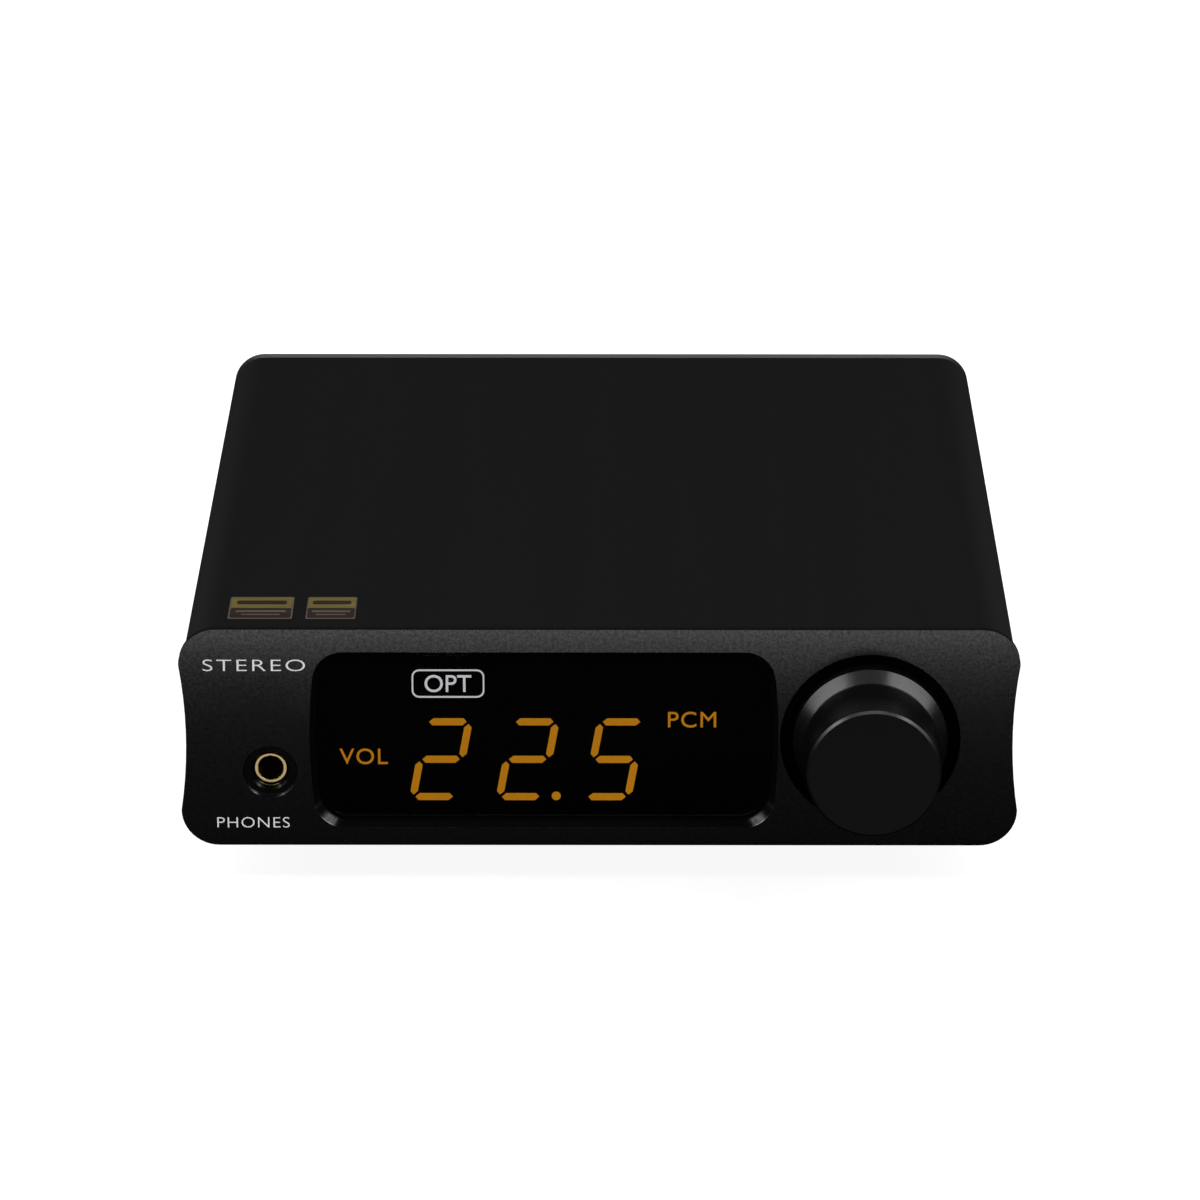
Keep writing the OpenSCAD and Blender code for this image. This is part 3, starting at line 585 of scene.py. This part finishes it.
def display_legends():
    """The lit words round the digits, in the places of their CAD bars."""
    lo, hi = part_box("input_legend")
    width, height, thick = hi.x - lo.x, hi.z - lo.z, hi.y - lo.y
    line, corner_radius = 0.23 * MM, 1.1 * MM
    ring = plate("ring", rounded_outline(width, height, corner_radius), -thick / 2, thick / 2,
                 hole=rounded_outline(width - 2 * line, height - 2 * line, corner_radius - line))
    word = letters("word", "OPT", 2.6 * MM, width=6.7 * MM, depth=thick)
    framed_word = joined("input_legend_lit", [ring, word])
    framed_word.transform(Matrix.Translation((lo + hi) / 2) @ FACE_FRONT)
    piece = place_piece("input_legend_lit", framed_word, WHITE_GLOW)
    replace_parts(piece, "input_legend")
    for node, text in (("volume_legend", "VOL"), ("format_legend", "PCM")):
        lo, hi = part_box(node)
        piece = lettering(node + "_lit", text, (lo + hi) / 2, FACE_FRONT, hi.z - lo.z, AMBER, "amber_light",
                          width=hi.x - lo.x, depth=hi.y - lo.y, spacing=1.1)
        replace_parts(piece, node)


INK_PROUD = 0.01 * MM


def panel_lettering():
    """Small printed words on the front panel, above and below the jack."""
    words = (("STEREO", -49.2, 5.4, 1.75, 14.6, -0.012, 1.15),
             ("PHONES", -49.7, 29.5, 1.6, 10.4, -0.011, 1.1))
    for text, x, below_top, height, width, weight, spacing in words:
        centre = Vector((x * MM, FRONT_Y - INK_PROUD, PANEL_TOP - below_top * MM))
        lettering("print_" + text.lower(), text, centre, FACE_FRONT, height * MM, PANEL_INK,
                  "white_plastic", width=width * MM, weight=weight, spacing=spacing)


def rear_lettering():
    """The generic names of the sockets, printed above them, and that of the outputs, below them."""
    left, right = middle("rca_left_shell"), middle("rca_right_shell")
    offset = 8.6 * MM
    words = [("left", "L", left.x, 1.7), ("right", "R", right.x, 1.7)]
    for name, text, node, height in (("antenna", "ANTENNA", "antenna_socket", 1.2),
                                     ("coax", "COAX", "coax_shell", 1.4),
                                     ("optical", "OPTICAL", "optical_port", 1.4),
                                     ("usb", "USB", "usb_port_shell", 1.4),
                                     ("dc", "DC IN", "dc_inlet", 1.4),
                                     ("power", "POWER", "power_rocker", 1.4)):
        words.append((name, text, middle(node).x, height))
    places = [(word, left.z + offset) for word in words]
    places.append((("output", "OUTPUT", (left.x + right.x) / 2, 1.4), left.z - offset))
    for (name, text, x, height), z in places:
        lettering("print_" + name, text, Vector((x, REAR_Y + INK_PROUD, z)), FACE_REAR, height * MM,
                  REAR_INK, "white_plastic", spacing=1.1)


FOIL_SKIN = 0.02 * MM


def label_layer(side, part, patches, level, material):
    """One layer of a label: rounded patches, each its y, length and breadth in shares of the label.

    Level 0 is the base, and each level above it is one foil skin higher, up to the label's top.
    """
    lo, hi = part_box("label_" + side)
    top = hi.z - (3 - level) * FOIL_SKIN
    bottom = lo.z if level == 0 else top - FOIL_SKIN
    meshes = []
    for y, length, breadth in patches:
        size_x, size_y = (hi.x - lo.x) * length, (hi.y - lo.y) * breadth
        outline = rounded_outline(size_x, size_y, min(0.45 * MM, size_y * 0.3))
        patch = plate(part, outline, bottom, top)
        patch.transform(Matrix.Translation(((lo.x + hi.x) / 2, (lo.y + hi.y) / 2 + (hi.y - lo.y) * y, 0)))
        meshes.append(patch)
    name = "label_%s_%s" % (side, part)
    return place_piece(name, joined(name, meshes), material)


def foil_labels():
    """Two foil stickers: a gold band over a brown one in a pale edge, with plain bars and no lettering."""
    for side in ("left", "right"):
        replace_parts(label_layer(side, "edge", [(0, 1, 1)], 0, FOIL_EDGE), "label_" + side)
        label_layer(side, "gold", [(0.22, 0.95, 0.47)], 1, FOIL_GOLD)
        label_layer(side, "brown", [(-0.235, 0.95, 0.44)], 2, FOIL_BROWN)
        label_layer(side, "bars", [(0.24, 0.78, 0.17)], 2, FOIL_BROWN)
        label_layer(side, "pale_bars", [(-0.17, 0.78, 0.08), (-0.32, 0.60, 0.05)], 3, FOIL_EDGE)


def finished_mesh(name, bm):
    """The mesh of a closed bmesh, with its faces turned outwards."""
    bmesh.ops.recalc_face_normals(bm, faces=bm.faces)
    mesh = bpy.data.meshes.new(name)
    bm.to_mesh(mesh)
    bm.free()
    return mesh


def revolved(name, profile, steps=96):
    """A solid of revolution about Y: profile is (radius, y) pairs from its axis round to its axis."""
    bm = bmesh.new()
    rings = []
    for radius, y in profile:
        if radius < 1e-9:
            rings.append([bm.verts.new((0, y, 0))] * steps)
        else:
            angles = [2 * math.pi * i / steps for i in range(steps)]
            rings.append([bm.verts.new((radius * math.cos(a), y, radius * math.sin(a))) for a in angles])
    for a, b in zip(rings, rings[1:]):
        for i in range(steps):
            k = (i + 1) % steps
            corners = list(dict.fromkeys((a[i], a[k], b[k], b[i])))
            if len(corners) > 2:
                bm.faces.new(corners)
    return finished_mesh(name, bm)


def hexagon(across_flats, start, end):
    """A hexagonal flange about the Y axis, chamfered round its outer face, with a vertex at the top."""
    corner = across_flats / math.sqrt(3)
    bm = bmesh.new()
    rings = []
    for y, cut in ((start, 0.0), (end - 0.25 * MM, 0.0), (end, 0.35 * MM)):
        rings.append([bm.verts.new(((corner - cut) * math.sin(math.radians(60 * i)), y,
                                    (corner - cut) * math.cos(math.radians(60 * i)))) for i in range(6)])
    for low, high in zip(rings, rings[1:]):
        for i in range(6):
            k = (i + 1) % 6
            bm.faces.new((low[i], low[k], high[k], high[i]))
    bm.faces.new(rings[0])
    bm.faces.new(rings[-1])
    return finished_mesh("hexagon", bm)


def antenna_thread():
    """The antenna socket: its shank, its hexagon, a thread cut in rings, and its centre pin."""
    shank_start, tip = (corner.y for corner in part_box("antenna_socket"))
    centre = middle("antenna_socket")
    outer, root, bore, pitch = 3.1 * MM, 2.75 * MM, 2.2 * MM, 0.706 * MM
    bore_floor = tip - 5 * MM
    profile = [(0, shank_start), (outer, shank_start)]
    for turn in range(int((tip - 0.5 * MM - shank_start) / pitch)):
        y = shank_start + turn * pitch
        profile += [(outer, y + 0.1 * pitch), (root, y + 0.5 * pitch), (outer, y + 0.9 * pitch)]
    profile += [(outer, tip - 0.35 * MM), (outer - 0.35 * MM, tip), (bore + 0.15 * MM, tip),
                (bore, tip - 0.15 * MM), (bore, bore_floor), (0, bore_floor)]
    pin = [(0, bore_floor), (0.45 * MM, bore_floor), (0.45 * MM, tip - 1.25 * MM), (0.3 * MM, tip - 1 * MM),
           (0, tip - 1 * MM)]
    flange = hexagon(8 * MM, REAR_Y, REAR_Y + 2 * MM)
    solids = [revolved("barrel", profile), revolved("pin", pin, steps=32), flange]
    mesh = joined("antenna_socket_threaded", solids)
    mesh.transform(Matrix.Translation((centre.x, 0, centre.z)))
    piece = place_piece("antenna_socket_threaded", mesh, GOLD)
    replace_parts(piece, "antenna_socket")


display_legends()
panel_lettering()
rear_lettering()
foil_labels()
antenna_thread()


# ---------------------------------------------------------------- stage and light

def stage_node(tree, kind, **values):
    """A node of the floor's or the world's material, with values in its sockets."""
    node = tree.nodes.new(kind)
    for socket, value in values.items():
        node.inputs[socket].default_value = value
    return node


def floor():
    """A floor that the camera sees as white with a trace of shadow, and that the finishes reflect as dark.

    It is clear from below, so that the underside can be looked at.
    """
    bm = bmesh.new()
    bmesh.ops.create_grid(bm, x_segments=4, y_segments=4, size=30)
    mesh = bpy.data.meshes.new("floor")
    bm.to_mesh(mesh)
    bm.free()
    piece = bpy.data.objects.new("floor", mesh)
    scene.collection.objects.link(piece)
    material = bpy.data.materials.new("floor")
    material.use_nodes = True
    tree = material.node_tree
    tree.nodes.clear()
    white = stage_node(tree, "ShaderNodeEmission", Color=(1, 1, 1, 1), Strength=0.93)
    shaded = stage_node(tree, "ShaderNodeBsdfDiffuse", Color=(0.20, 0.20, 0.20, 1))
    seen = stage_node(tree, "ShaderNodeAddShader")
    unseen = stage_node(tree, "ShaderNodeBsdfDiffuse", Color=(0.012, 0.012, 0.012, 1))
    path = stage_node(tree, "ShaderNodeLightPath")
    from_above = stage_node(tree, "ShaderNodeMixShader")
    clear = stage_node(tree, "ShaderNodeBsdfTransparent")
    side = stage_node(tree, "ShaderNodeNewGeometry")
    either_side = stage_node(tree, "ShaderNodeMixShader")
    out = stage_node(tree, "ShaderNodeOutputMaterial")
    tree.links.new(white.outputs[0], seen.inputs[0])
    tree.links.new(shaded.outputs[0], seen.inputs[1])
    tree.links.new(path.outputs["Is Camera Ray"], from_above.inputs[0])
    tree.links.new(unseen.outputs[0], from_above.inputs[1])
    tree.links.new(seen.outputs[0], from_above.inputs[2])
    tree.links.new(side.outputs["Backfacing"], either_side.inputs[0])
    tree.links.new(from_above.outputs[0], either_side.inputs[1])
    tree.links.new(clear.outputs[0], either_side.inputs[2])
    tree.links.new(either_side.outputs[0], out.inputs["Surface"])
    mesh.materials.append(material)


def surroundings():
    """White for the camera, and a dim even fill for everything else."""
    world = bpy.data.worlds.new("studio")
    scene.world = world
    world.use_nodes = True
    tree = world.node_tree
    tree.nodes.clear()
    seen = stage_node(tree, "ShaderNodeBackground", Color=(1, 1, 1, 1), Strength=1.0)
    fill = stage_node(tree, "ShaderNodeBackground", Color=(0.95, 0.97, 1.0, 1), Strength=0.032)
    path = stage_node(tree, "ShaderNodeLightPath")
    mix = stage_node(tree, "ShaderNodeMixShader")
    out = stage_node(tree, "ShaderNodeOutputWorld")
    tree.links.new(path.outputs["Is Camera Ray"], mix.inputs[0])
    tree.links.new(fill.outputs[0], mix.inputs[1])
    tree.links.new(seen.outputs[0], mix.inputs[2])
    tree.links.new(mix.outputs[0], out.inputs["Surface"])


def softbox(name, centre, target, size, watts, only=(), without=()):
    """A rectangular studio light that faces target. It lights all pieces, only some, or all but some."""
    data = bpy.data.lights.new(name, "AREA")
    data.shape = "RECTANGLE"
    data.size, data.size_y = size
    data.energy = watts
    lamp = bpy.data.objects.new(name, data)
    scene.collection.objects.link(lamp)
    lamp.location = centre
    lamp.rotation_euler = (Vector(target) - Vector(centre)).to_track_quat("-Z", "Y").to_euler()
    lamp.visible_camera = False
    if only or without:
        receivers = bpy.data.collections.new(name + "_receivers")
        for piece in only or without:
            receivers.objects.link(nodes[piece] if piece in nodes else bpy.data.objects[piece])
        for link in receivers.collection_objects:
            link.light_linking.link_state = "INCLUDE" if only else "EXCLUDE"
        lamp.light_linking.receiver_collection = receivers


floor()
surroundings()

LABEL_LAYERS = ("edge", "gold", "brown", "bars", "pale_bars")
TOP_SKIN = ["case_shell"] + ["label_%s_%s" % (side, layer) for side in ("left", "right")
                             for layer in LABEL_LAYERS]
PANEL_MIDDLE = (0, FRONT_Y, 0.02)
JUST_OFF_FLOOR = 0.001


def card(name, x, y, size, watts, only):
    """A light that lies on the floor and faces up, like a white card in front of the object."""
    softbox(name, (x, y, JUST_OFF_FLOOR), (x, y, 1), size, watts, only=only)


for side, name in ((-1, "left_box"), (1, "right_box")):
    softbox(name, (side * 0.80, 0.10, 0.76), (0, -0.04, 0.02), size=(0.8, 1.1), watts=11.0)
softbox("front_soft", (0, -1.1, 0.26), PANEL_MIDDLE, size=(0.9, 0.2), watts=9.5,
        only=["headphone_jack_ring", "print_stereo", "print_phones"])
softbox("rear_soft", (0, 0.80, 0.95), (0, REAR_Y, 0.02), size=(1.1, 0.4), watts=17.0,
        without=TOP_SKIN + ["front_panel", "volume_knob"])
softbox("low_front", (0, -1.1, 0.32), PANEL_MIDDLE, size=(0.9, 0.2), watts=3.0, only=["front_panel"])
for side, name in ((-1, "left_corner"), (1, "right_corner")):
    softbox(name, (side * 0.62, FRONT_Y - 0.52, 0.60), PANEL_MIDDLE, size=(0.46, 0.46), watts=4.6,
            only=["front_panel", "volume_knob"])
softbox("brow_strip", (0, -1.0, 0.85), PANEL_MIDDLE, size=(0.9, 0.12), watts=2.0, only=["volume_knob"])
softbox("top_strip", (0, -0.50, 1.45), PANEL_MIDDLE, size=(0.9, 0.12), watts=2.7, only=["volume_knob"])
card("far_card", 0, FRONT_Y - 0.249, size=(1.2, 0.30), watts=2.95, only=["front_panel"])
card("near_card", 0, FRONT_Y - 0.055, size=(1.2, 0.09), watts=0.014, only=["front_panel"])
card("knob_card", KNOB_X, KNOB_FACE - 0.060, size=(0.16, 0.12), watts=0.0056, only=["volume_knob"])
card("ring_card", RING_X, FRONT_Y - 0.055, size=(0.20, 0.09), watts=0.028, only=["headphone_jack_ring"])

scene.view_settings.view_transform = "Standard"
scene.view_settings.look = "None"
scene.cycles.use_denoising = True
